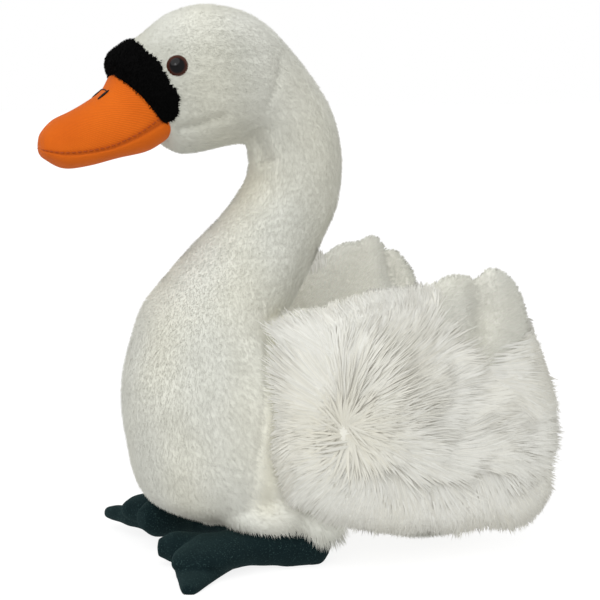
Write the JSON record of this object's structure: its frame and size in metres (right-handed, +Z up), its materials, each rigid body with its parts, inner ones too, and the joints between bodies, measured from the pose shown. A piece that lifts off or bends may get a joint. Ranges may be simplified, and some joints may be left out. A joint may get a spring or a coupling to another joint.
{
  "type": "plush toy swan",
  "caption": "Sewn plush toy of a white swan sitting with folded wings, with a stuffed twill bill and flat felt feet that it stands on.",
  "frame": {"origin": "on the floor, under the middle of the toy's box", "axes": "+Z up, -Y the way the swan faces, +X its left side"},
  "size_m": [0.1736, 0.2786, 0.298],
  "materials": {
    "white_plush": "short dense polyester pile, off-white, matt",
    "wing_plush": "long straight polyester pile, white, soft sheen",
    "black_plush": "very short black pile, matt",
    "orange_twill": "woven polyester twill, orange, faint sheen",
    "green_felt": "brushed short-nap fabric, very dark green, matt",
    "eye_gloss": "clear moulded acrylic over dark brown and black, high gloss"
  },
  "bodies": {
    "root": {"head": "white_plush", "face_patch": "black_plush", "bill_upper": "orange_twill", "bill_lower": "orange_twill", "eye_left": "eye_gloss", "eye_right": "eye_gloss", "neck_upper": "white_plush", "neck_lower": "white_plush", "breast": "white_plush", "trunk": "white_plush", "wing_left": "wing_plush", "wing_right": "wing_plush", "tail": "white_plush", "leg_left": "white_plush", "leg_right": "white_plush", "foot_left": "green_felt", "foot_right": "green_felt"}
  },
  "joints": []
}
